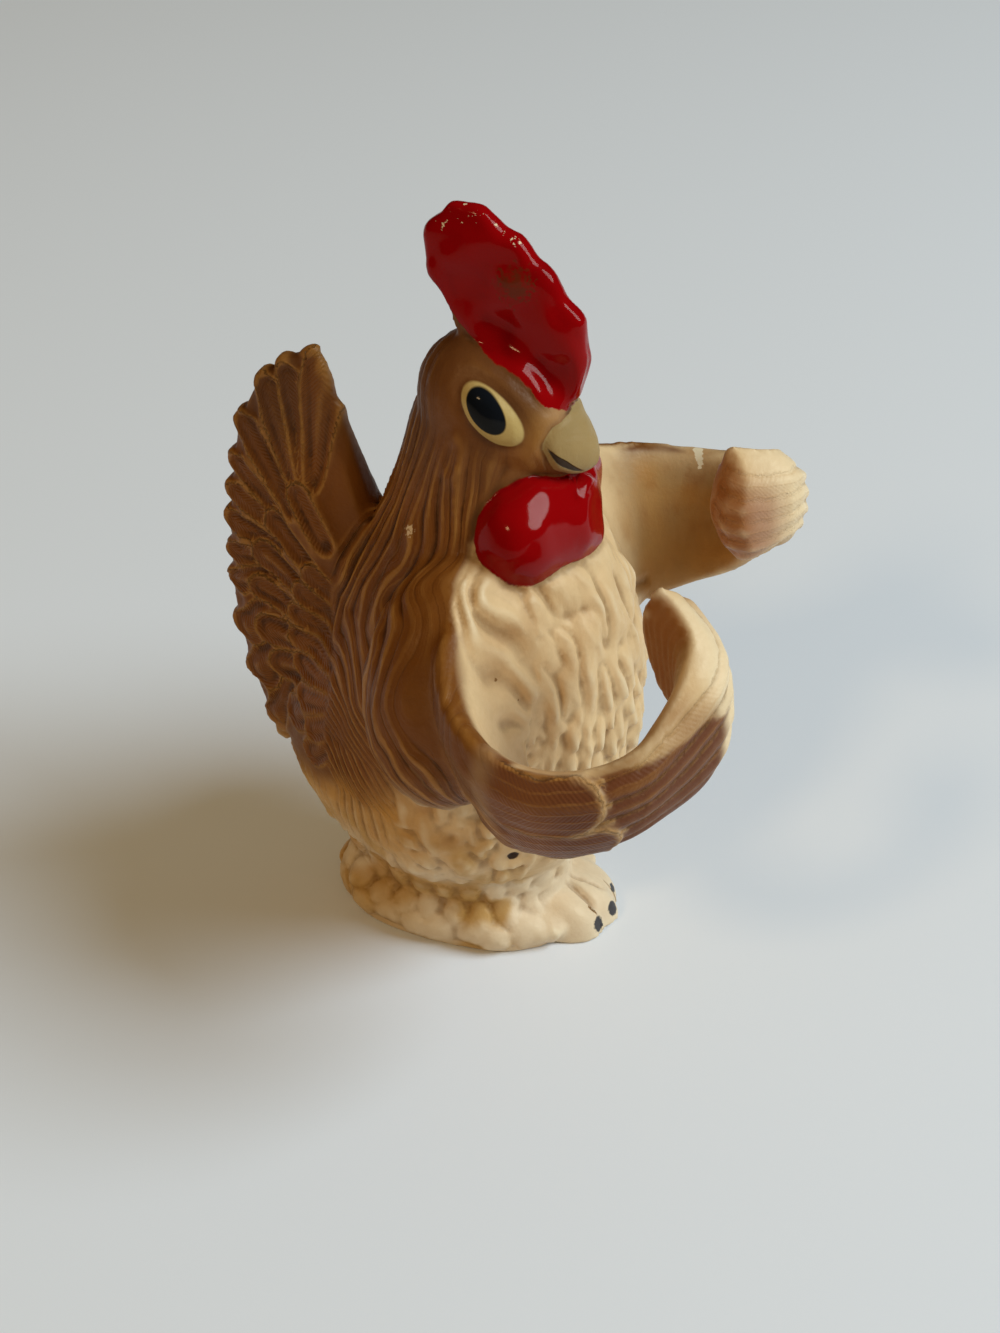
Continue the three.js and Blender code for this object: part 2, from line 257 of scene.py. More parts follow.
def chartOf(at, normal):
    # where each point lies on the wings, the tail, the neck and the breast
    chart = {}
    x, y, z = at.T
    side = np.abs(y)
    form = birdForm
    turn = np.degrees(np.arctan2(form["cradle"][1] - side, x - form["cradle"][0]))
    turn = np.where(turn > 80, turn - 360, turn)
    level = z - form["rimLevel"]
    rim, low, wide, steep = (np.interp(turn, wingRows[:, 0], wingRows[:, k]) for k in range(1, 5))
    right = [np.interp(turn, rightChange[:, 0], rightChange[:, k]) for k in range(1, 4)]
    left = [np.interp(turn, leftChange[:, 0], leftChange[:, k]) for k in range(1, 4)]
    rimMore, lowMore, reachMore = np.where(y < 0, right, left)
    rim = rim + rimMore
    low = low + lowMore
    reach = np.hypot(x - form["cradle"][0], side - form["cradle"][1])
    inner = wide * form["pocketRadius"] + steep * form["cradleSlope"] * level + reachMore
    chart["turn"] = turn
    chart["depth"] = reach - inner
    chart["arc"] = np.radians(turn) * 22.0
    chart["share"] = (level - low) / (rim - low)
    chart["fromRim"] = rim - level
    inBand = ramp(chart["share"], -0.12, 0.0) * (1 - ramp(chart["depth"], 9.5, 12))
    chart["wing"] = inBand * ramp(chart["depth"], -2.5, -1) * ramp(turn, -150, -128) * ramp(z, 44, 50)
    facing = normal[:, 0] * np.cos(np.radians(turn)) - np.sign(y) * normal[:, 1] * np.sin(np.radians(turn))
    chart["outer"] = ramp(facing, -0.1, 0.35) * ramp(chart["depth"], 2.0, 4.0)
    chart["inner"] = chart["wing"] * ramp(-facing, 0.0, 0.4)
    hub = form["tailHub"]
    chart["tailTurn"] = np.degrees(np.arctan2(z - hub[1], x - hub[0])) % 360
    chart["tailReach"] = np.hypot(x - hub[0], z - hub[1])
    border = np.interp(z, [30, 45, 55, 66, 76, 84, 95], [-19, -22.5, -21.5, -24, -23, -17.5, -14])
    chart["tail"] = ramp(border - x, -0.8, 1.2) * ramp(z, 26, 34)
    # strands of the neck and back: which strand, by the side view, round to the back
    spread = np.interp(z, [35, 45, 55, 68, 80, 88, 110], [0.8, 0.9, 1.35, 1.65, 1.3, 1.0, 0.9])
    swing = np.interp(z, [35, 45, 55, 62, 68, 88, 110], [19, 14, 6, 2.2, 0.8, 0, 2])
    chart["strand"] = (x - swing) / spread + 0.6 * np.minimum(side - 12, 0)
    flow = chart["wing"] * ramp(turn, -165, -110)
    chart["strand"] += (8 + 14 * (chart["share"] - 0.5) - chart["strand"]) * flow
    chart["front"] = np.degrees(np.arctan2(side, x - 2))
    chart["breastArc"] = np.arctan2(y, x - 2) * 25.0
    lobeLevel, _, lobeShares = blendLevel(at, lobes, lobeHalves, lobeBlend)
    chart["wattle"] = (1.06 - lobeLevel) * 7.5
    chart["seam"] = np.maximum(lobeShares[0], lobeShares[1]) - lobeShares[2]
    chart["level"] = level
    combFoot = np.interp(
        x,
        [-12, -6, -2.5, 0.4, 4.3, 8.8, 11.9, 13.4, 14.5, 16.3, 17.5, 21],
        [126, 123.5, 121.8, 118.8, 117, 115, 112.6, 110.8, 109.6, 108.6, 107.6, 107],
    )
    chart["comb"] = np.minimum((z - combFoot) * 0.8, 7.5 - side)
    beakBack = np.interp(
        z,
        [93, 96.5, 99.1, 102.8, 104.1, 106.2, 107.4],
        [20, 17.9, 15.8, 14.3, 14.6, 15.6, 17.8],
    )
    chart["beak"] = np.minimum(np.minimum(x - beakBack, 108.2 - z), (z - 92.5) * 0.8)
    return chart


keepCrisp = np.ones(count)
points = roundOff(points, castSettings["roundPasses"])
normal = outward(points)
chart = chartOf(points, normal)
plain = (1 - ramp(chart["front"], 60, 85)) * ramp(points[:, 2], 17, 22) * (1 - ramp(points[:, 2], 76, 84))
plain *= 1 - ramp(chart["wing"], 0.1, 0.4)
plainFoot = (1 - ramp(points[:, 2], 12, 16)) * ramp(points[:, 2], 0.8, 2.6) * ramp(-points[:, 0], -19, -15)
plain = np.maximum(plain, plainFoot)
for _ in range(castSettings["softenPasses"]):
    points = points + (0.5 * plain)[:, None] * (neighbours(points) - points)
keepCrisp -= 0.75 * ramp(chart["comb"], 1, 3)
keepCrisp -= 0.8 * ramp(-points[:, 0], 26, 32)
points = fillHollows(points, castSettings["filletPasses"], np.clip(keepCrisp, 0, 1))
onThroat = ramp(points[:, 0], 11, 14) * ramp(points[:, 2], 76, 80)
points = blendForms(points, lobes, lobeHalves, lobeBlend, onThroat)
toes = [np.array(middle) for middle in birdForm["toes"]]
onToes = ramp(points[:, 0], 14, 18) * (1 - ramp(points[:, 2], 9, 12)) * (outward(points)[:, 2] > -0.7)
toeHalves = [np.array(birdForm["toeHalf"])] * len(toes)
points = blendForms(points, toes, toeHalves, castSettings["toeBlend"], onToes)
local = np.maximum(onToes * ramp(points[:, 2], 0.1, 0.8), onThroat * (points[:, 2] < 97))
points = fillHollows(points, castSettings["gapPasses"], local * 0.8)
points = roundOff(points, castSettings["lastRoundPasses"])
normal = outward(points)
chart = chartOf(points, normal)
x, y, z = points.T
side = np.abs(y)
print("joins filled")


# Carving: every feather is a rounded leaf in its chart. Later ones lie over earlier ones.
relief = {
    "height": np.zeros(count),
    "edge": np.full(count, 6.0),
    "lock": np.zeros(count),
    "locks": np.zeros(count),
    "pale": np.zeros(count),
    "shafts": np.zeros(count),
    "across": np.zeros(count),
    "along": np.zeros(count),
    "barbs": np.zeros(count),
    "ridge": np.zeros(count),
    "rosette": np.zeros(count),
}


def layFeather(where, chartX, chartY, base, tip, baseRadius, tipRadius, look):
    base = np.array(base, dtype=float)
    tip = np.array(tip, dtype=float)
    run = tip - base
    length = np.hypot(*run)
    run /= length
    px = chartX[where] - base[0]
    py = chartY[where] - base[1]
    along = px * run[0] + py * run[1]
    across = py * run[0] - px * run[1]
    share = np.clip(along / length, 0, 1)
    radius = baseRadius + (tipRadius - baseRadius) * share ** 0.6
    if look.get("leaf"):
        radius = tipRadius * (0.35 + 0.65 * np.sin(math.pi * share ** 0.7))
    off = np.hypot(along - share * length, across) - radius
    edge = relief["edge"]
    outside = (off >= 0) & (off < np.abs(edge[where]))
    edge[where[outside]] = off[outside]
    within = off < 0
    at = where[within]
    edge[at] = off[within]
    lean = np.abs(across[within]) / radius[within]
    relief["height"][at] = look["lift"] * (share[within] - 0.35)
    relief["height"][at] -= look.get("crown", 0.0) * (lean ** 2 - 0.3)
    relief["height"][at] -= look.get("dish", 0.0) * bell(off[within] + 1.3, 0.9)
    rib = look.get("rib", 0.0) * bell(across[within], 0.5) * ramp(share[within], 0, 0.2)
    relief["height"][at] += rib * (1 - ramp(share[within], 0.75, 0.95))
    relief["across"][at] = across[within]
    relief["along"][at] = along[within]
    relief["barbs"][at] = look.get("barbs", 0.0)
    relief["shafts"][at] = look.get("shafts", 0.0)
    relief["ridge"][at] = look["ridge"]
    near = where[(off >= 0) & (off < 1.5)]
    relief["ridge"][near] = np.maximum(relief["ridge"][near], look["ridge"])
    atTip = look.get("pale", 0.0) * ramp(along, length - 1, length + 1) * (off < 1.5)
    relief["pale"][where] = np.where(off < 1.5, atTip, relief["pale"][where])


tailFeatherSettings = {
    "tips": (219, 203, 187, 171, 162, 153, 145, 138, 129.5, 120.5, 115.3, 108.6),
    "tipRadius": (3.4, 4.2, 3.9, 2.9, 2.6, 2.5, 2.2, 2.2, 2.7, 2.9, 2.3, 3.7),
    "coverts": (232, 217, 201, 186, 170, 156, 142, 128),
    "covertRadius": (2.6, 2.9, 3.2, 3.3, 2.7, 2.9, 2.5, 2.6),
    "long": {"lift": 0.5, "dish": 0.45, "rib": 0.35, "barbs": 0.8, "ridge": 1.0},
    "short": {"lift": 0.7, "dish": 0.5, "rib": 0.2, "barbs": 0.8, "ridge": 1.0},
}


def carveTail():
    where = np.flatnonzero(chart["tail"] > 0.02)
    hub = np.array(birdForm["tailHub"])

    def spot(degrees, reach):
        return hub + reach * np.array([math.cos(math.radians(degrees)), math.sin(math.radians(degrees))])

    for tipTurn, radius in zip(tailFeatherSettings["tips"], tailFeatherSettings["tipRadius"]):
        rim = np.interp(tipTurn, tailRows[:, 0], tailRows[:, 1])
        base = spot(126 + 0.6 * (tipTurn - 115), 33 - 0.11 * (tipTurn - 115))
        tip = spot(tipTurn, rim - radius - 0.1)
        layFeather(where, x, z, base, tip, 0.4 * radius, radius, tailFeatherSettings["long"])
    for tipTurn, radius in zip(tailFeatherSettings["coverts"], tailFeatherSettings["covertRadius"]):
        base = spot(tipTurn + 2, 24 - 0.1 * (tipTurn - 125))
        tip = spot(tipTurn, 36 - 0.075 * (tipTurn - 125) - radius)
        layFeather(where, x, z, base, tip, 0.7 * radius, radius, tailFeatherSettings["short"])
    for tipTurn in range(146, 230, 13):
        layFeather(where, x, z, spot(tipTurn + 4, 13), spot(tipTurn, 21.5), 1.6, 2.3,
                   tailFeatherSettings["short"])


wingFeatherSettings = {
    "fingers": (0.06, 0.24, 0.42, 0.60, 0.78),
    "chartHeight": 20.0,  # the wing's height in its chart, whatever its own
    "sink": 0.4,
    "finger": {"lift": 0.0, "crown": 1.1, "barbs": 0.2, "ridge": 0.3, "shafts": 0.35},
    "over": {"lift": 0.9, "crown": 0.55, "rib": 0.1, "barbs": 0.6, "ridge": 1.0,
             "pale": 1.0, "shafts": 0.6},
    # base and tip in the chart, then the radius at each
    "laid": (
        ((-50, 6.2), (-23.6, 6.0), 4.0, 4.2),
        ((-52, 14.8), (-28.2, 14.6), 4.8, 4.8),
    ),
}


def carveWings():
    where = np.flatnonzero((chart["wing"] > 0.05) & (chart["outer"] > 0.05) & (chart["turn"] > -140))
    tall = wingFeatherSettings["chartHeight"]
    up = chart["share"] * tall
    sway = 1.4 * np.sin(chart["arc"] / 9.0) + 0.8 * cloud(points, 9.0, 45)
    for share in wingFeatherSettings["fingers"]:
        layFeather(where, chart["arc"], up + sway, (-44, share * tall), (30, share * tall + 1.5), 1.9, 1.9,
                   wingFeatherSettings["finger"])
    for base, tip, baseRadius, tipRadius in wingFeatherSettings["laid"]:
        layFeather(where, chart["arc"], up, base, tip, baseRadius, tipRadius, wingFeatherSettings["over"])
    relief["height"][where] *= (1 - 0.5 * ramp(chart["turn"], 2, 20) * (y > 0))[where]
    relief["height"][where] -= wingFeatherSettings["sink"]


tuftSettings = {
    "breast": {"top": 88.0, "bottom": 24.0, "step": 3.7, "spacing": 4.3, "columns": 7, "seed": 7},
    "skirt": {"top": 47.0, "bottom": 19.0, "step": 4.4, "spacing": 4.4, "columns": 18, "seed": 8},
    "breastLook": {"lift": 1.3, "crown": 1.0, "ridge": 0.0, "leaf": True},
    "skirtLook": {"lift": 0.9, "crown": 0.8, "ridge": 0.0, "leaf": True},
}


def lumps(across, up, long, seed):
    # rounded tufts with narrow valleys between them, of no regular size
    at = np.stack([across + 1.6 * cloud(points, 7.0, seed), up / long, np.sign(y) * 3.1], 1)
    coarse = np.abs(cloud(at, 3.4, seed + 1)) ** 0.75
    finer = np.abs(cloud(at * 1.9, 3.4, seed + 2)) ** 0.8
    return 0.95 * coarse + 0.35 * finer - 0.5


def carveDomes(where, across, up, spots):
    # round curls, each a dome with petal grooves, the higher one on top
    for centre, high, radius, tall in spots:
        away = np.hypot(across[where] - centre, up[where] - high) / radius
        angle = np.arctan2(up[where] - high - 0.6 * radius, across[where] - centre)
        dome = tall * (1 - away ** 2.8) - 0.2 * tall * np.cos(7 * angle + centre) * away
        inside = (away < 1) & (dome - 0.4 * tall > relief["height"][where])
        relief["height"][where[inside]] = (dome - 0.4 * tall)[inside]
        petals = (0.5 + 0.5 * np.cos(7 * angle + centre)) ** 4
        lines = bell(away - 0.94, 0.12) + 0.5 * petals * ramp(away, 0.3, 0.6)
        relief["rosette"][where[inside]] = lines[inside]


def carveTufts(where, rows, look):
    rng = np.random.default_rng(rows["seed"])
    high = rows["bottom"]
    row = 0
    while high < rows["top"]:
        up = float(ramp(np.array(high), 52, 76))
        for column in range(-rows["columns"], rows["columns"] + 1):
            nudge = rng.uniform(-1, 1, 5)
            middle = (column + 0.5 * (row % 2)) * rows["spacing"] + 1.3 * nudge[0]
            length = 6.8 + 3.0 * up + 1.2 * nudge[3]
            tip = (middle * (1 - 0.2 * up) + 0.7 * nudge[1], high + 1.1 * nudge[2])
            base = (middle * (1 + 0.12 * up), high + 1.1 * nudge[2] + length)
            layFeather(where, chart["breastArc"], z, base, tip, 1.0, 2.15 + 0.45 * nudge[4], look)
        high += rows["step"] * (1 + 0.35 * up)
        row += 1


curlSettings = {
    # height, radius and how many to a row
    "rows": ((4.0, 3.3, 22), (8.6, 2.9, 22), (12.4, 2.5, 22)),
    "tall": 0.9,
    "wrap": 21.0,  # the foot's rough radius
    "seed": 3,
    "toeGrooves": ((-2.2, -0.33), (0.6, 0.2)),  # place across the foot, lean
    "grooveDepth": 1.1,
}


def carveFoot():
    spin = np.arctan2(y, x + 1)
    around = spin * curlSettings["wrap"]
    where = np.flatnonzero((z < 17) & (z > 0.8) & ((np.abs(spin) > 0.5) | (z > 10)))
    relief["height"][where] = -0.5
    rng = np.random.default_rng(curlSettings["seed"])
    spots = []
    for row, (high, radius, number) in enumerate(curlSettings["rows"]):
        for column in range(number):
            middle = (column + 0.5 * (row % 2) + rng.uniform(0.35, 0.65)) / number * 2 - 1
            size = radius * rng.uniform(0.85, 1.2)
            tall = curlSettings["tall"] * rng.uniform(0.6, 1.1)
            up = high + rng.uniform(-1.1, 1.1)
            spots.append((middle * math.pi * curlSettings["wrap"], up, size, tall))
    carveDomes(where, around, z, spots)
    for middle, lean in curlSettings["toeGrooves"]:
        groove = bell(y - middle - lean * (x - 20), 0.6) * ramp(x, 17.5, 20) * (1 - ramp(z, 8, 10.5))
        relief["height"] -= curlSettings["grooveDepth"] * groove * (1 - ramp(x, 23.5, 25.5))


pocketEdge = np.interp(z, [76, 80, 82, 85, 88], [0.6, 1.0, 2.2, 3.0, 4.0])
pocketEdge = pocketEdge + 1.5 * (y > 0)
inPocket = ramp(pocketEdge - chart["depth"], -0.4, 0.5) * ramp(z, 46, 49) * ramp(x, 2, 4) * (z < 90)


def brownBody():
    # where the brown glaze of neck, back and cape goes, wings left out
    cape = np.interp(
        z,
        [38, 46, 50, 58, 66, 72, 75.5, 78.7, 82.5, 85.6, 88.3, 92],
        [3, 8, 12, 15, 17, 17, 14.2, 10, 6.4, 5.2, 5.0, 8],
    )
    cape += 7 * ramp(side, 36, 42)
    hem = np.interp(x, [-26, -18, -10, -2, 3, 9], [32, 36, 41, 46, 48, 46])
    soften = np.interp(x, [-20, -10, 3], [4.5, 8, 3.5])
    brown = ramp(z + 3.0 * large + 2.0 * small, hem - soften, hem + soften) * ramp(cape - x, -0.5, 0.9)
    brown *= 1 - inPocket
    return np.maximum(brown, ramp(z, 91, 94))


large = cloud(points, 13.0, 61)
small = cloud(points, 4.5, 62)
mottle = cloud(points, 2.4, 63) + 0.5 * cloud(points, 1.1, 64)
bodyBrown = brownBody()
onCast = chart["wing"] < 0.3
pocketSide = (inPocket > 0.5) & (chart["front"] > 50)
onBreast = np.flatnonzero((bodyBrown < 0.5) & (z > 20) & (z < 92) & (chart["front"] < 85)
                          & ~pocketSide & onCast & (chart["wattle"] < -0.5))
onSkirt = np.flatnonzero((z > 14) & (z < 54) & (chart["front"] > 50) & onCast & (chart["tail"] < 0.5))
carveTufts(onSkirt, tuftSettings["skirt"], tuftSettings["skirtLook"])
carveTufts(onBreast, tuftSettings["breast"], tuftSettings["breastLook"])
fanning = np.interp(z, [40, 55, 65, 72, 82, 90], [0.8, 0.85, 0.92, 1.0, 1.3, 1.5])
folds = 2.0 * lumps(chart["breastArc"] / fanning, z, 2.6, 71)
upper = ramp(z, 50, 66)
relief["height"][onBreast] = (relief["height"] * (1 - 0.75 * upper) + folds * (0.3 + 0.6 * upper))[onBreast]
skirtFolds = 1.7 * lumps(chart["breastArc"], z, 1.5, 75)
relief["height"][onSkirt] = (0.6 * relief["height"] + 0.85 * skirtFolds)[onSkirt]
onPocket = np.flatnonzero(pocketSide & (z > 56) & onCast)
foldSettings = {"along": (0.83, 0.56), "spacing": 2.5, "depth": 0.6}
foldAt = foldSettings["along"][0] * x + foldSettings["along"][1] * z + 1.3 * cloud(points, 6.0, 73)
slanting = 2 * math.pi * foldAt / foldSettings["spacing"]
pocketFolds = foldSettings["depth"] * np.sin(slanting) * ramp(z, 58, 66) + 0.3 * folds
pocketFolds *= ramp(z, 56, 64) * (1 - ramp(chart["turn"], -190, -176))
pocketFolds *= ramp(pocketEdge - chart["depth"], -0.3, 0.5)
relief["height"][onPocket] = pocketFolds[onPocket]
carveTail()
carveWings()
carveFoot()
print("feathers laid")


# Locks of the neck, the cape and the back: rounded strips with grooves between them
lockSettings = {"width": 2.8, "depth": 1.2, "wander": 3.4}


def carveLocks():
    warp = cloud(points * (1, 1, 0.55), 8.0, 11) * lockSettings["wander"]
    warp += 0.5 * cloud(points * (1, 1, 0.5), 3.5, 14)
    at = (chart["strand"] + warp) / lockSettings["width"]
    part = at - np.floor(at)
    strength = 0.62 + 0.5 * cloud(points * (1, 1, 0.35), 3.4, 5)
    rounded = np.abs(np.sin(math.pi * part)) ** 0.7 - 0.6
    second = np.abs(np.sin(math.pi * (1.73 * at + cloud(points, 9.0, 13)))) ** 0.8 - 0.6
    nearCape = ramp(x, -6, 2) * ramp(z, 60, 66) * (1 - ramp(z, 84, 90))
    offWing = 1 - ramp(chart["turn"], -118, -98) * ramp(chart["wing"], 0, 0.5)
    crown = ramp(z, 98, 106) * ramp(x, -9, -1)
    hem = np.interp(x, [-14, -4, 2], [26, 38, 46])
    behind = 1 - ramp(x, -9, -4)
    elsewhere = np.where(z > 46, chart["wing"] * chart["outer"], behind)
    mask = np.maximum(bodyBrown, elsewhere)
    mask = mask * (1 - chart["tail"]) * offWing * (1 - crown) * ramp(z, hem - 12, hem)
    mask *= (1 - ramp(chart["comb"], -1, 0.5)) * (1 - ramp(chart["wattle"], -1.5, -0.5))
    calm = mask * (1 - 0.75 * nearCape) * (1 - 0.4 * ramp(z, 90, 100))
    rise = lockSettings["depth"] * rounded * strength + 0.4 * second * (1.1 - strength)
    relief["height"] = relief["height"] * (1 - mask) + calm * rise
    relief["lock"] = at
    relief["locks"] = calm * (0.45 + 0.55 * strength)
    for name in ("ridge", "barbs", "shafts"):
        relief[name] = relief[name] * (1 - mask)


carveLocks()
ridgeHeight = 0.42
relief["height"] += ridgeHeight * relief["ridge"] * bell(relief["edge"], 0.6)


# Comb, wattles, wing tips and face
modelling = {
    "combDents": ((1.1, 7.0, 21), (0.55, 3.2, 22)),
    "wattleDents": ((1.0, 7.5, 31), (0.3, 3.2, 32)),
    "beakGroove": 0.5,
    "tipRib": 0.2,
    "wattleSeam": 0.7,
}


def dents(layers):
    return sum(depth * cloud(points, size, seed) for depth, size, seed in layers)


relief["height"] = np.where(chart["comb"] > 0, dents(modelling["combDents"]), relief["height"])
relief["height"] = np.where(chart["wattle"] > 0, dents(modelling["wattleDents"]), relief["height"])
relief["height"] -= modelling["wattleSeam"] * bell(chart["seam"], 0.35) * ramp(chart["wattle"], 0.3, 1.2)
redBorder = np.maximum(bell(chart["comb"] + 0.3, 0.6), bell(chart["wattle"] + 0.3, 0.6) * (z < 98))
relief["height"] -= 0.3 * redBorder
ribWave = np.sin((chart["arc"] + 0.12 * chart["level"]) * 2 * math.pi / 2.2 + 1.5 * cloud(points, 8.0, 41))
tipInside = chart["inner"] * ramp(chart["turn"], -5, 12) * (1 - ramp(chart["depth"], 0.6, 1.8))
relief["height"] += modelling["tipRib"] * tipInside * ribWave
onBeak = (side < 9) * (z > 93) * (x > 12)
relief["height"] -= modelling["beakGroove"] * bell(chart["beak"], 0.6) * onBeak
relief["height"] += 0.2 * ramp(chart["beak"], 0, 1) * onBeak


def almond(at, centre, degrees, long, wide, power=2.0):
    # how far outside an almond in the side view, in millimetres
    c = math.cos(math.radians(degrees))
    s = math.sin(math.radians(degrees))
    u = (at[:, 0] - centre[0]) * c + (at[:, 2] - centre[1]) * s
    v = -(at[:, 0] - centre[0]) * s + (at[:, 2] - centre[1]) * c
    size = (np.abs(u / long) ** power + np.abs(v / wide) ** power) ** (1 / power)
    return (size - 1) * wide


# centre forward and up, degrees, half length, half width
eyeSettings = {
    "ring": ((6.6, 108.9), -42.0, 6.3, 3.15),
    "pupil": ((5.9, 109.8), -47.0, 4.2, 2.4),
    "mouth": ((17.4, 100.2), -49.0, 3.4, 0.5),
    "ear": ((0.6, 101.2), 78.0, 3.6, 1.7),
}
onSide = ramp(side, 5, 7)
ringOff = almond(points, *eyeSettings["ring"])
pupilOff = almond(points, *eyeSettings["pupil"])
earOff = almond(points, *eyeSettings["ear"])
relief["height"] += onSide * (0.35 * ramp(-ringOff, 0, 1.0) - 0.4 * bell(ringOff - 0.4, 0.55))
relief["height"] += onSide * 0.45 * ramp(-pupilOff, -0.2, 1.6)
relief["height"] += onSide * 0.4 * bell(earOff, 0.55) * (z > 96) * (z < 106)

pitAway = np.linalg.norm(points - np.array(birdForm["shadedHole"]), axis=1)
height = relief["height"] * ramp(z, 0.2, 1.6) * (1 - bell(pitAway, 2.2))
for _ in range(2):
    height = 0.5 * height + 0.5 * neighbours(height)
height -= 0.5 * bell(pitAway, 0.9)
carved = points + normal * height[:, None]


def shapeTailRim(at):
    # draws the fan's rim in or out so that it ends in the feathers' round tips
    turn = chart["tailTurn"]
    tips = zip(tailFeatherSettings["tips"], tailFeatherSettings["tipRadius"])
    made = np.interp(turn, tailRows[:, 0], tailRows[:, 1])
    wanted = made - 0.9
    for tipTurn, radius in tips:
        middle = np.interp(tipTurn, tailRows[:, 0], tailRows[:, 1]) - radius
        apart = np.radians(turn - tipTurn)
        inside = radius ** 2 - (middle * np.sin(apart)) ** 2
        reach = middle * np.cos(apart) + np.sqrt(np.clip(inside, 0, None))
        wanted = np.where(inside > 0, np.maximum(wanted, reach), wanted)
    feathers = 11
    start, end = tailRows[0, 0], tailRows[-1, 0]
    wave = np.abs(np.sin(math.pi * feathers * (turn - start) / (end - start))) - 0.5
    made = made + 0.8 * wave
    near = ramp(chart["tailReach"] - made, -6, -1) * chart["tail"]
    near = near * ramp(turn, 110, 113) * (1 - ramp(turn, 220, 226))
    shift = (wanted - made) * near
    away = np.stack([x - birdForm["tailHub"][0], np.zeros(count), z - birdForm["tailHub"][1]], 1)
    away /= np.maximum(np.linalg.norm(away, axis=1), 1)[:, None]
    return at + away * shift[:, None]


carved = shapeTailRim(carved)
carved[:, 2] = np.where(points[:, 2] < 0.25, points[:, 2], carved[:, 2])
carved = np.clip(carved, np.array(cadBox[0]) / mm, np.array(cadBox[1]) / mm)
normal = outward(carved)
hollow = np.einsum("ij,ij->i", neighbours(carved) - carved, normal)
hollow = neighbours(neighbours(neighbours(hollow)))
wideHollow = hollow.copy()
for _ in range(castSettings["dipPasses"]):
    wideHollow = neighbours(wideHollow)
print("carving done")


# Paint: soft sprayed colours, mixed point by point, in linear light
paintSettings = {
    "cream": (0.74, 0.50, 0.25),
    "tan": (0.46, 0.24, 0.09),
    "footCream": (0.76, 0.60, 0.40),
    "paleCream": (0.86, 0.66, 0.40),
    "ochre": (0.55, 0.30, 0.07),
    "brown": (0.175, 0.052, 0.005),
    "wingBrown": (0.145, 0.043, 0.015),
    "headBrown": (0.125, 0.042, 0.010),
    "amber": (0.52, 0.24, 0.045),
    "rust": (0.30, 0.10, 0.02),
    "umber": (0.30, 0.145, 0.038),
    "pink": (0.46, 0.24, 0.14),
}


def colour(name):
    return np.array(paintSettings[name])


def spray(name, share):
    # lays a colour over the paint so far
    global paint
    paint = paint + (colour(name) - paint) * np.clip(share, 0, 1)[:, None]


turn = chart["turn"]
onWing = np.clip(chart["wing"] * 1.5, 0, 1)
bandTop = np.interp(turn, [-150, -110, -90, -62, -40, -13, 3], [-1.5, -0.8, 0.0, 0.9, 1.6, 4.8, 9.0])
bandTop += 1.3 * (y > 0)
bandIn = np.interp(turn, [-150, -110, -62], [0.2, 0.9, 1.6])
wingBrown = ramp(chart["fromRim"] + 0.5 * small, bandTop - 0.3, bandTop + 0.5)
wingBrown *= ramp(chart["depth"], bandIn, bandIn + 1.0)
faceOut = np.maximum(chart["outer"], 1 - ramp(turn, -112, -96))
wingBrown *= ramp(faceOut, 0.15, 0.6) * (1 - ramp(turn + 2 * small + 12 * (y > 0), 0, 9))
onBlade = onWing * ramp(turn, -125, -106)
brownMask = np.clip(np.maximum(bodyBrown * (1 - onBlade), onWing * wingBrown), 0, 1)

paint = np.tile(colour("cream"), (count, 1))
spray("tan", 0.10 + 0.12 * small + 0.08 * large)
spray("tan", 0.4 * inPocket * ramp(small + large, 0.3, 1.3))
rearward = ramp(-x, -12, 10)
spray("amber", 0.95 * bell(z - 34 - 4 * large, 11) * ramp(-x, -9, 6) * (1 - 0.3 * ramp(small, 0, 0.5)))
spray("footCream", (1 - ramp(z, 17, 26)) * 0.85)
spray("amber", 0.75 * bell(z - 13, 7) * rearward * ramp(small + 0.4 * large, -0.3, 0.3))
spray("ochre", 0.6 * (1 - ramp(z, 28, 40)) * ramp(small - 0.3 * large, 0.15, 0.5) * (1 - ramp(x, 12, 20)))
spray("ochre", 0.35 * (1 - ramp(z, 3, 14)) * rearward)
spray("amber", 0.55 * bell(z - 37, 7) * ramp(small + 0.5 * large, 0.0, 0.5) * ramp(-x, -14, -2))
spray("rust", 0.35 * bell(z - 36, 7) * ramp(small - 0.4 * large, 0.25, 0.6) * ramp(-x, -12, -2))
curlCreaseShade = relief["rosette"] * (1 - 0.6 * ramp(x, 8, 18)) * ramp(small + large, -0.8, 0.5)
spray("ochre", 0.9 * bell(z - 8, 9) * bell(x + 1, 14) * ramp(small + 0.3 * large, -0.4, 0.4))
spray("umber", 0.5 * bell(z - 12, 6) * bell(x + 2, 13) * ramp(mottle + small, 0.0, 0.9))
# ochre and umber along the curls' borders and petal grooves: painted shade with an ochre wash
spray("ochre", 0.8 * curlCreaseShade)
spray("umber", 0.5 * curlCreaseShade * (1 - ramp(x, 6, 16)))
wallSide = 1.6 + 1.5 * ramp(turn, -5, 15)
wallStart = np.where(y > 0, ramp(turn, -178, -135), ramp(turn, -150, -125))
insideWing = ramp(wallSide - chart["depth"], 0, 1.5) * wallStart
insideWing *= ramp(chart["share"], -0.1, 0.05) * ramp(chart["depth"], -3, -1.5) * (chart["fromRim"] > -2)
insideWing *= 1 - 0.8 * (y < 0) * (1 - ramp(turn, -60, -20))
spray("umber", insideWing * (0.85 + 0.3 * large))
spray("rust", 0.5 * insideWing * ramp(mottle, 0.15, 0.8))
spray("tan", 0.45 * insideWing * ramp(-mottle, 0.3, 0.9))
spray("tan", 0.5 * insideWing * ramp(large + 0.6 * small, -0.1, 0.7))
spray("rust", 0.35 * insideWing * ramp(small, 0, 0.6) * ramp(chart["fromRim"], 2, 5))
spray("rust", 0.85 * insideWing * ramp(turn, 0, 22))
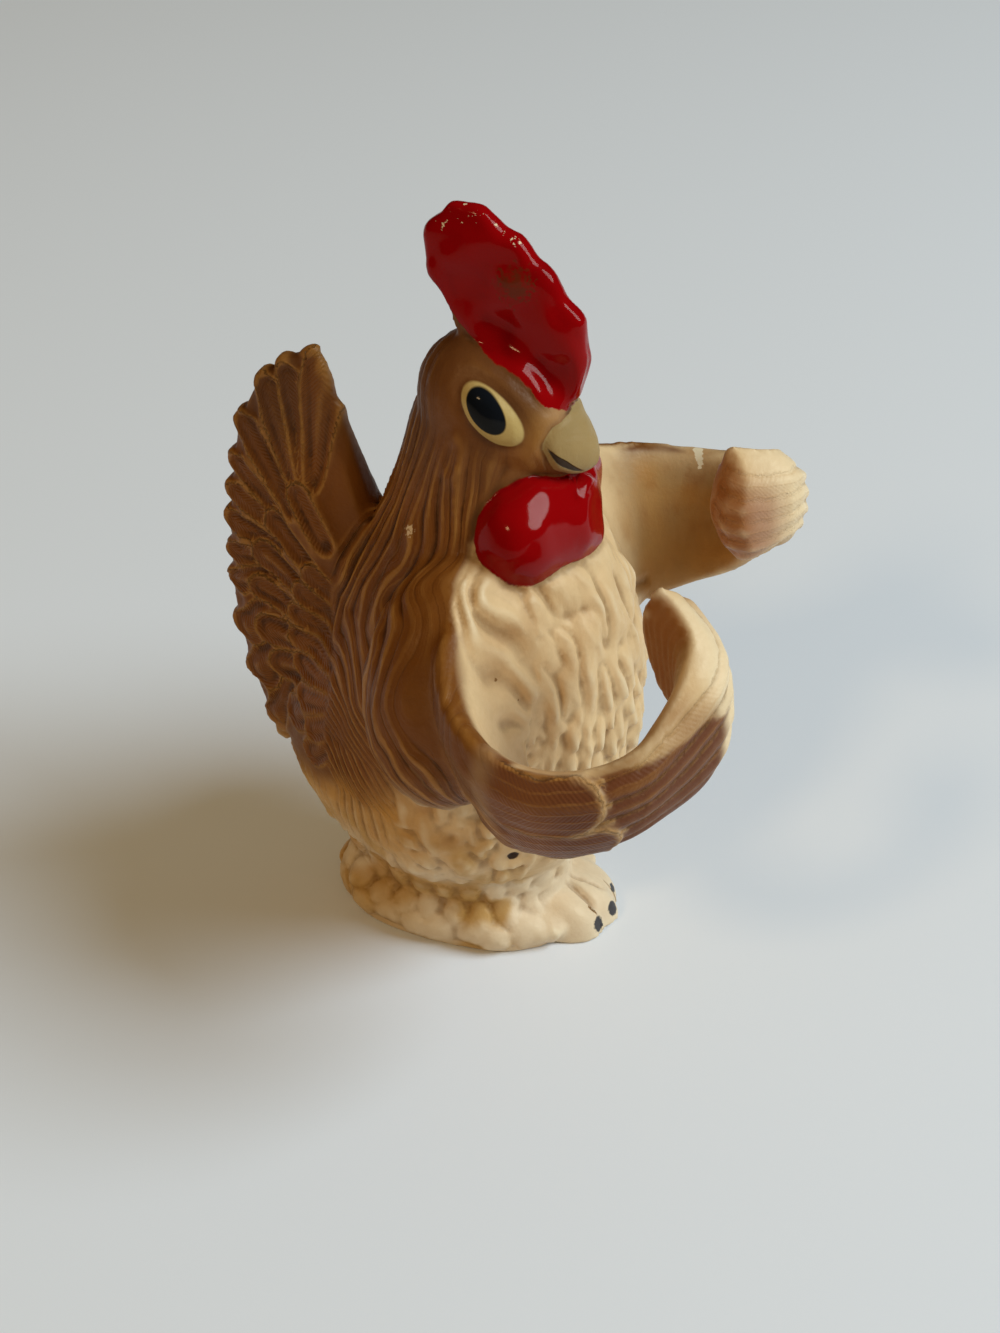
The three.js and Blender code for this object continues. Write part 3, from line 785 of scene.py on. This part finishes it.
rimBand = onWing * ramp(turn, -125, -105) * (1 - ramp(turn, -25, -5)) * ramp(chart["depth"], 0.5, 1.5)
spray("tan", 0.75 * rimBand * ramp(small + 0.5, -0.2, 0.6))
nearBrown = bell(chart["fromRim"] - bandTop, 3.4) * onWing * ramp(turn, -80, -50) * (1 - ramp(turn, -2, 14))
spray("umber", 0.85 * nearBrown * (y < 0) * (0.85 + 0.3 * small))
spray("rust", 0.4 * nearBrown * (y < 0) * ramp(turn, -45, -20) * (0.7 + 0.4 * small))
spray("amber", 0.45 * insideWing * (y > 0) * ramp(large + small, -0.6, 0.6))
tipOut = onWing * ramp(turn, 18, 36) * ramp(chart["depth"], 1, 3)
spray("paleCream", 0.7 * onWing * ramp(turn, -6, 4) * ramp(chart["depth"], 2, 4) * (1 - ramp(turn, 26, 40)))
spray("pink", 0.9 * tipOut * (1 - ramp(chart["share"], 0.55, 0.95)))
spray("rust", 0.9 * onWing * ramp(turn, 36, 47) * ramp(chart["depth"], 0, 1.5))
spray("brown", brownMask * (1 - onBlade))
spray("wingBrown", brownMask * onBlade)
paleTip = relief["pale"] * bell(relief["edge"], 0.55) * brownMask
spray("cream", 0.7 * paleTip)
spray("headBrown", brownMask * (1 - onWing) * ramp(z, 88, 100))
spray("rust", 0.35 * brownMask * ramp(large, 0, 0.8))
faceGlow = bell(x - 12, 4.5) * bell(z - 101.5, 4.5) * (z > 90)
spray("rust", 0.6 * faceGlow)
spray("amber", 0.4 * bell(x - 14, 2.4) * bell(z - 105.5, 4))
spray("tan", 0.8 * bell(x - 16.2, 1.8) * bell(z - 108.4, 1.8))


def store(name, values):
    layer = fine.attributes.new(name, "FLOAT", "POINT")
    layer.data.foreach_set("value", np.ascontiguousarray(values, dtype=np.float32))


store("edge", relief["edge"])
store("ridge", relief["ridge"] * bell(relief["edge"], 1.1))
store("lock", relief["lock"])
store("locks", relief["locks"])
store("shafts", relief["shafts"])
store("across", relief["across"])
store("along", relief["along"])
store("barbs", relief["barbs"])
store("cavity", np.clip(hollow * 14.0, -1, 1))
store("dip", np.clip(wideHollow * 40.0, -1, 1))
store("comb", chart["comb"])
store("wattle", chart["wattle"])
store("beak", np.where(side < 9, chart["beak"], -3))
store("brown", brownMask)
paintLayer = fine.attributes.new("paint", "FLOAT_COLOR", "POINT")
rgba = np.ones((count, 4), dtype=np.float32)
rgba[:, :3] = np.clip(paint, 0, 1)
paintLayer.data.foreach_set("color", rgba.ravel())
fine.vertices.foreach_set("co", (carved * mm).ravel())
fine.shade_smooth()
fine.update()
print("paint laid")


def thin(piece, triangles):
    # fewer triangles where the form is plain
    fewer = piece.modifiers.new("Thin", "DECIMATE")
    fewer.ratio = triangles / (2 * len(piece.data.polygons))
    graph = bpy.context.evaluated_depsgraph_get()
    mesh = bpy.data.meshes.new_from_object(piece.evaluated_get(graph))
    piece.modifiers.clear()
    piece.data = mesh
    mesh.shade_smooth()
    return mesh


fine = thin(casting, castSettings["triangles"])
print("thinned to", len(fine.polygons), "faces")


# One material for the whole casting: satin bisque, red enamel, black gloss eyes
finishSettings = {
    "satin": 0.44,
    "enamel": 0.12,
    "red": (0.26, 0.0012, 0.002, 1),
    "redShade": (0.13, 0.0006, 0.0015, 1),
    "eyeRing": (0.50, 0.34, 0.115, 1),
    "black": (0.006, 0.007, 0.009, 1),
    "beak": (0.35, 0.22, 0.08, 1),
    "mouth": (0.035, 0.018, 0.010, 1),
    "bareClay": (0.72, 0.52, 0.32, 1),
    "claw": (0.055, 0.05, 0.05, 1),
    # gold serves for the feather lines and as painted highlight on brown crests
    "goldLinesAndHighlight": (0.46, 0.21, 0.045, 1),
    # the next two colours: a wash also used for specks, and a brown painted as shade in hollows, grooves
    # and round the eye
    "washAndShade": (0.20, 0.085, 0.02, 1),
    "brownShade": (0.050, 0.014, 0.003, 1),
    # the pale colour serves for the crack and as painted highlight on cream crests
    "paleCrackAndHighlight": (0.82, 0.66, 0.42, 1),
    # painted shade inside the vent hole
    "shadedHole": (0.035, 0.015, 0.008, 1),
    "combSpot": (0.10, 0.025, 0.008, 1),
}
# where each small mark lies, in millimetres, and its radius
markSettings = {
    "combChips": (
        ((-4.3, -1.0, 135.6), 0.75),
        ((-0.9, -1.0, 137.2), 0.5),
        ((1.4, -1.0, 137.8), 0.55),
        ((7.4, -1.0, 134.4), 0.5),
    ),
    "combSpot": ((7.8, -3.4, 128.0), 3.0),
    "neckChip": (((-6.7, -12.2, 86.1), 1.0),),
    "crack": (
        ((26.4, 51.1, 74.4), 0.9),
        ((26.8, 50.4, 74.0), 0.8),
        ((27.0, 49.7, 73.5), 0.7),
        ((27.4, 49.2, 72.8), 0.55),
        ((27.5, 48.7, 72.2), 0.4),
    ),
    "specks": (((13.5, -27.7, 71.2), 0.32), ((16.7, -25.4, 66.4), 0.32)),
    "claws": (((25.2, -4.9, 2.3), 1.5), ((27.1, -0.4, 3.0), 1.4), ((25.4, 5.0, 3.0), 1.0)),
}
material = bpy.data.materials.new("Painted ceramic")
material.use_nodes = True
tree = material.node_tree
tree.nodes.clear()


def place(kind, inputs=None, **settings):
    made = tree.nodes.new(kind)
    for name, value in settings.items():
        setattr(made, name, value)
    for name, value in (inputs or {}).items():
        if isinstance(value, bpy.types.NodeSocket):
            tree.links.new(value, made.inputs[name])
        else:
            made.inputs[name].default_value = value
    return made


def calc(operation, *values):
    return place("ShaderNodeMath", dict(enumerate(values)), operation=operation).outputs[0]


def soft(value, low, high, start=0.0, end=1.0):
    inputs = {"Value": value, "From Min": low, "From Max": high, "To Min": start, "To Max": end}
    return place("ShaderNodeMapRange", inputs, interpolation_type="SMOOTHSTEP").outputs[0]


def tint(factor, first, second, way="MIX"):
    made = place("ShaderNodeMix", data_type="RGBA", blend_type=way)
    for socket, value in ((made.inputs[0], factor), (made.inputs[6], first), (made.inputs[7], second)):
        if isinstance(value, bpy.types.NodeSocket):
            tree.links.new(value, socket)
        else:
            socket.default_value = value
    return made.outputs[2]


def read(name, output="Fac"):
    return place("ShaderNodeAttribute", attribute_name=name).outputs[output]


def grain(scale, detail=2.0, roughness=0.5, vector=None):
    inputs = {"Vector": vector or objectAt, "Scale": scale, "Detail": detail, "Roughness": roughness}
    return place("ShaderNodeTexNoise", inputs).outputs["Fac"]


objectAt = place("ShaderNodeTexCoord").outputs["Object"]
inMillimetres = place("ShaderNodeVectorMath", {0: objectAt, "Scale": 1 / mm}, operation="SCALE").outputs[0]
apart = place("ShaderNodeSeparateXYZ", {"Vector": inMillimetres})
atX, atY, atZ = apart.outputs
offMiddle = calc("ABSOLUTE", atY)


def almondMask(centre, degrees, long, wide, softness, power=2.0):
    c = math.cos(math.radians(degrees))
    s = math.sin(math.radians(degrees))
    dx = calc("SUBTRACT", atX, centre[0])
    dz = calc("SUBTRACT", atZ, centre[1])
    u = calc("MULTIPLY_ADD", dx, c / long, calc("MULTIPLY", dz, s / long))
    v = calc("MULTIPLY_ADD", dx, -s / wide, calc("MULTIPLY", dz, c / wide))
    longPart = calc("POWER", calc("ABSOLUTE", u), power)
    widePart = calc("POWER", calc("ABSOLUTE", v), power)
    size = calc("POWER", calc("ADD", longPart, widePart), 1 / power)
    return calc("MULTIPLY", soft(size, 1 + softness, 1 - softness), soft(offMiddle, 2.4, 3.0))


def dab(centre, radius, ragged):
    # a small mark at a place on the bird, with a ragged rim
    measure = place("ShaderNodeVectorMath", {0: inMillimetres, 1: centre}, operation="DISTANCE")
    away = calc("MULTIPLY_ADD", calc("SUBTRACT", fineGrain, 0.5), ragged * 4, measure.outputs["Value"])
    return soft(away, radius * 1.12, radius * 0.88)


fineGrain = grain(1500, 3)
speckle = grain(520, 4, 0.65)
blotch = grain(95, 3, 0.55)
paintAt = read("paint", "Color")
brown = read("brown")
edgeAt = calc("ABSOLUTE", read("edge"))
ridgeAt = read("ridge")
cavity = read("cavity")
dip = read("dip")
print("material started")

# the sprayed ground, uneven as a hand-sprayed colour is
ground = tint(soft(blotch, 0.3, 0.75, 0.0, 0.3), paintAt, (0.86, 0.80, 0.74, 1), "MULTIPLY")
ground = tint(soft(speckle, 0.35, 0.7, 0.0, 0.22), ground, (0.80, 0.74, 0.68, 1), "MULTIPLY")
# painted shade and a darker wash lie in the hollows, and the high ridges get a painted highlight, partly
# rubbed lighter
inHollow = calc("MULTIPLY", soft(cavity, 0.02, 0.5), soft(speckle, 0.2, 0.6, 0.6, 1.0))
creamShadeWash = tint(calc("MULTIPLY", inHollow, 0.5), ground, finishSettings["washAndShade"])
brownShadeWash = tint(calc("MULTIPLY", inHollow, 0.8), ground, finishSettings["brownShade"])
ground = tint(brown, creamShadeWash, brownShadeWash)
# painted shade in the broad hollows
inDip = soft(dip, 0.05, 0.6)
ground = tint(calc("MULTIPLY", inDip, 0.35), ground, tint(0.5, ground, finishSettings["washAndShade"]))
# painted highlight: lighter on the crests and, with some gold, along the raised feather edges
onHigh = soft(calc("MULTIPLY", cavity, -1.0), 0.1, 0.75)
goldEdgeHighlight = calc("MULTIPLY", soft(edgeAt, 0.6, 0.08), ridgeAt)
goldEdgeHighlight = calc("MULTIPLY", goldEdgeHighlight, soft(speckle, 0.25, 0.6, 0.35, 1.0))
# locks: painted highlight on each crest and painted shade in each groove, with finer hairs between
lockAt = read("lock")
onLocks = read("locks")
wave = calc("ABSOLUTE", calc("SINE", calc("MULTIPLY", lockAt, math.pi)))
hairShift = calc("MULTIPLY_ADD", blotch, 1.6, calc("MULTIPLY", lockAt, 2.45))
hair = calc("ABSOLUTE", calc("SINE", calc("MULTIPLY", hairShift, math.pi)))
crest = calc("MAXIMUM", soft(wave, 0.86, 0.99), calc("MULTIPLY", soft(hair, 0.9, 1.0), 0.35))
crest = calc("MULTIPLY", calc("MULTIPLY", crest, onLocks), soft(blotch, 0.35, 0.6, 0.25, 1.0))
groove = calc("MAXIMUM", soft(wave, 0.3, 0.02), calc("MULTIPLY", soft(hair, 0.2, 0.0), 0.3))
groove = calc("MULTIPLY", groove, onLocks)
ground = tint(calc("MULTIPLY", calc("MULTIPLY", groove, 0.6), brown), ground, finishSettings["brownShade"])
# painted highlight on the brown parts, in gold, where crests, edges and lock crests stand high
crestHighlight = calc("MAXIMUM", calc("MULTIPLY", goldEdgeHighlight, 0.6), calc("MULTIPLY", onHigh, 0.45))
crestHighlight = calc("MAXIMUM", crestHighlight, calc("MULTIPLY", crest, 0.7))
brownHighlighted = tint(calc("MULTIPLY", crestHighlight, brown), ground, finishSettings["goldLinesAndHighlight"])
# pale painted highlight on the crests of the cream parts
ground = tint(calc("MULTIPLY", calc("MULTIPLY", onHigh, 0.4), calc("SUBTRACT", 1.0, brown)),
              brownHighlighted, finishSettings["paleCrackAndHighlight"])

# barbs: fine slanting lines on the feathers
slant = calc("MULTIPLY_ADD", calc("ABSOLUTE", read("across")), 1.1, read("along"))
barbWave = calc("SINE", calc("MULTIPLY_ADD", blotch, 6.0, calc("MULTIPLY", slant, 7.5)))
barbs = calc("MULTIPLY", barbWave, read("barbs"))
acrossAt = calc("MULTIPLY_ADD", blotch, 1.4, read("across"))
shafts = calc("ABSOLUTE", calc("SINE", calc("MULTIPLY", acrossAt, 2.1)))
shafts = calc("MULTIPLY", soft(shafts, 0.9, 1.0), read("shafts"))
shafts = calc("MULTIPLY", shafts, soft(speckle, 0.3, 0.6, 0.4, 1.0))
ground = tint(calc("MULTIPLY", shafts, 0.4), ground, finishSettings["goldLinesAndHighlight"])
ground = tint(calc("MULTIPLY", soft(barbs, 0.1, 1.0), 0.08), ground, (1.5, 1.4, 1.3, 1), "MULTIPLY")

# head: eye ring, pupil, beak, mouth
eyeRing = almondMask(*eyeSettings["ring"], 0.04)
pupil = almondMask(*eyeSettings["pupil"], 0.05)
# painted shade in the recess round the eye ring
eyeRecessShade = almondMask(*eyeSettings["ring"], 0.16)
ground = tint(calc("MULTIPLY", eyeRecessShade, 0.5), ground, finishSettings["brownShade"])
ringColour = tint(soft(speckle, 0.3, 0.7, 0.0, 0.25), finishSettings["eyeRing"], (0.42, 0.26, 0.07, 1))
ground = tint(eyeRing, ground, ringColour)
ground = tint(pupil, ground, finishSettings["black"])
beakEdge = calc("MULTIPLY_ADD", calc("SUBTRACT", speckle, 0.5), 0.5, read("beak"))
onBeak = soft(beakEdge, -0.15, 0.15)
beakColour = tint(soft(blotch, 0.3, 0.7, 0.0, 0.35), finishSettings["beak"], (0.26, 0.17, 0.06, 1))
ground = tint(onBeak, ground, beakColour)
mouth = almondMask(*eyeSettings["mouth"], 0.15, 1.6)
mouth = calc("MULTIPLY", mouth, onBeak)

# comb and wattles in red enamel, chipped along the comb's edge
combEdge = calc("MULTIPLY_ADD", calc("SUBTRACT", speckle, 0.5), 0.7, read("comb"))
wattleEdge = calc("MULTIPLY_ADD", calc("SUBTRACT", speckle, 0.5), 0.5, read("wattle"))
onRed = calc("MAXIMUM", soft(combEdge, -0.12, 0.12), soft(wattleEdge, -0.12, 0.12))
# the red darkens in the hollows as painted shade, and at random
redShadeAndTone = calc("MAXIMUM", soft(cavity, 0.05, 0.6), soft(blotch, 0.55, 0.8, 0.0, 0.5))
redColour = tint(redShadeAndTone, finishSettings["red"], finishSettings["redShade"])
wornRim = calc("MULTIPLY", soft(speckle, 0.66, 0.7), soft(atZ, 133, 137))
chips = calc("MULTIPLY", wornRim, soft(cavity, -0.2, -0.5))
for chip, chipRadius in markSettings["combChips"]:
    chips = calc("MAXIMUM", chips, dab(chip, chipRadius, 1.0))
redColour = tint(chips, redColour, finishSettings["bareClay"])
brownSpot = calc("MULTIPLY", dab(*markSettings["combSpot"], 2.0), soft(speckle, 0.4, 0.6, 0.2, 0.75))
redColour = tint(brownSpot, redColour, finishSettings["combSpot"])
ground = tint(onRed, ground, redColour)
ground = tint(mouth, ground, finishSettings["mouth"])

# small marks: the vent hole under the wing, painted dark as its shade, a chip on the neck, specks, painted
# claws
ground = tint(dab(birdForm["shadedHole"], 1.05, 0.15), ground, finishSettings["shadedHole"])
markKinds = (
    # which marks, how ragged, which finish
    ("neckChip", 0.8, "bareClay"),
    ("crack", 0.2, "paleCrackAndHighlight"),
    ("specks", 0.3, "washAndShade"),
    ("claws", 0.25, "claw"),
)
for kind, ragged, finish in markKinds:
    for spot, spotRadius in markSettings[kind]:
        ground = tint(dab(spot, spotRadius, ragged), ground, finishSettings[finish])

roughness = soft(speckle, 0.3, 0.7, finishSettings["satin"] - 0.05, finishSettings["satin"] + 0.07)
gloss = calc("MAXIMUM", calc("MULTIPLY", onRed, calc("SUBTRACT", 1.0, chips)), pupil)
satinPart = calc("MULTIPLY", roughness, calc("SUBTRACT", 1.0, gloss))
shine = calc("MULTIPLY_ADD", gloss, finishSettings["enamel"], satinPart)
relievo = calc("MULTIPLY_ADD", fineGrain, 0.12, calc("MULTIPLY", speckle, 0.14))
relievo = calc("MULTIPLY", relievo, calc("SUBTRACT", 1.0, calc("MULTIPLY", gloss, 0.8)))
relievo = calc("MULTIPLY_ADD", barbs, 0.09, relievo)
relievo = calc("MULTIPLY_ADD", shafts, 0.25, relievo)
relievo = calc("MULTIPLY_ADD", goldEdgeHighlight, 0.12, relievo)
relievo = calc("MULTIPLY_ADD", calc("SUBTRACT", crest, groove), 0.3, relievo)
relievo = calc("MULTIPLY_ADD", mouth, -0.5, relievo)
bump = place("ShaderNodeBump", {"Height": relievo, "Strength": 1.0, "Distance": 0.45 * mm})
surface = place("ShaderNodeBsdfPrincipled", {
    "Base Color": ground,
    "Roughness": shine,
    "Normal": bump.outputs[0],
    "Coat Weight": calc("MULTIPLY", gloss, 0.07),
    "Coat Roughness": 0.05,
    "IOR": 1.5,
    "Specular IOR Level": calc("MULTIPLY_ADD", gloss, -0.16, 0.25),
    "Specular Tint": (1.0, 0.82, 0.6, 1),
})
place("ShaderNodeOutputMaterial", {"Surface": surface.outputs[0]})
fine.materials.clear()
fine.materials.append(material)
print("material made")

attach(casting, "root")
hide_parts("rooster")


# Floor, lights and camera
studioSettings = {
    "floorSize": 6.0,
    "cameraAt": (99.5, -275.9, 257.7),
    "cameraAlong": (-0.2667, 0.7745, -0.5736),
    "lens": 54.09,
    "sensor": 36.0,
    "aim": (0, 0, 0.07),  # the lights point at the bird's middle
    # toward, distance, size, power, tone
    "lights": {
        "Window": ((0.95, 0.15, 0.8), 2.0, 1.15, 42.5, (0.70, 0.86, 1.0)),
        "Lamp": ((-0.3, -0.75, 0.7), 1.6, 0.25, 4.2, (1.0, 0.76, 0.46)),
    },
    "floorRoughness": 0.55,
    "floor": (0.79, 0.80, 0.81, 1),
    "world": (1.0, 0.78, 0.46, 1),
    "worldStrength": 0.24,
}


def addFloor():
    flat = bmesh.new()
    bmesh.ops.create_grid(flat, x_segments=1, y_segments=1, size=studioSettings["floorSize"] / 2)
    mesh = bpy.data.meshes.new("floor")
    flat.to_mesh(mesh)
    flat.free()
    floor = bpy.data.objects.new("floor", mesh)
    bpy.context.scene.collection.objects.link(floor)
    paper = bpy.data.materials.new("Pale floor")
    paper.use_nodes = True
    shader = paper.node_tree.nodes["Principled BSDF"]
    shader.inputs["Base Color"].default_value = studioSettings["floor"]
    shader.inputs["Roughness"].default_value = studioSettings["floorRoughness"]
    mesh.materials.append(paper)


def addLight(name, toward, distance, size, power, tone):
    lamp = bpy.data.lights.new(name, "AREA")
    lamp.shape = "DISK"
    lamp.size = size
    lamp.energy = power
    lamp.color = tone
    holder = bpy.data.objects.new(name, lamp)
    direction = Vector(toward).normalized()
    holder.location = direction * distance + Vector(studioSettings["aim"])
    holder.rotation_euler = direction.to_track_quat("Z", "Y").to_euler()
    bpy.context.scene.collection.objects.link(holder)


addFloor()
for name, lightValues in studioSettings["lights"].items():
    addLight(name, *lightValues)
sky = bpy.data.worlds.new("Studio")
sky.use_nodes = True
sky.node_tree.nodes["Background"].inputs[0].default_value = studioSettings["world"]
sky.node_tree.nodes["Background"].inputs[1].default_value = studioSettings["worldStrength"]
sky.cycles_visibility.glossy = False
bpy.context.scene.world = sky
bpy.context.scene.view_settings.view_transform = "Standard"

camera = bpy.data.cameras.new("Camera")
camera.lens = studioSettings["lens"]
camera.sensor_width = studioSettings["sensor"]
camera.clip_start = 0.01
viewer = bpy.data.objects.new("Camera", camera)
viewer.location = Vector(studioSettings["cameraAt"]) * mm
viewer.rotation_euler = Vector(studioSettings["cameraAlong"]).to_track_quat("-Z", "Y").to_euler()
bpy.context.scene.collection.objects.link(viewer)
bpy.context.scene.camera = viewer
print("studio ready")
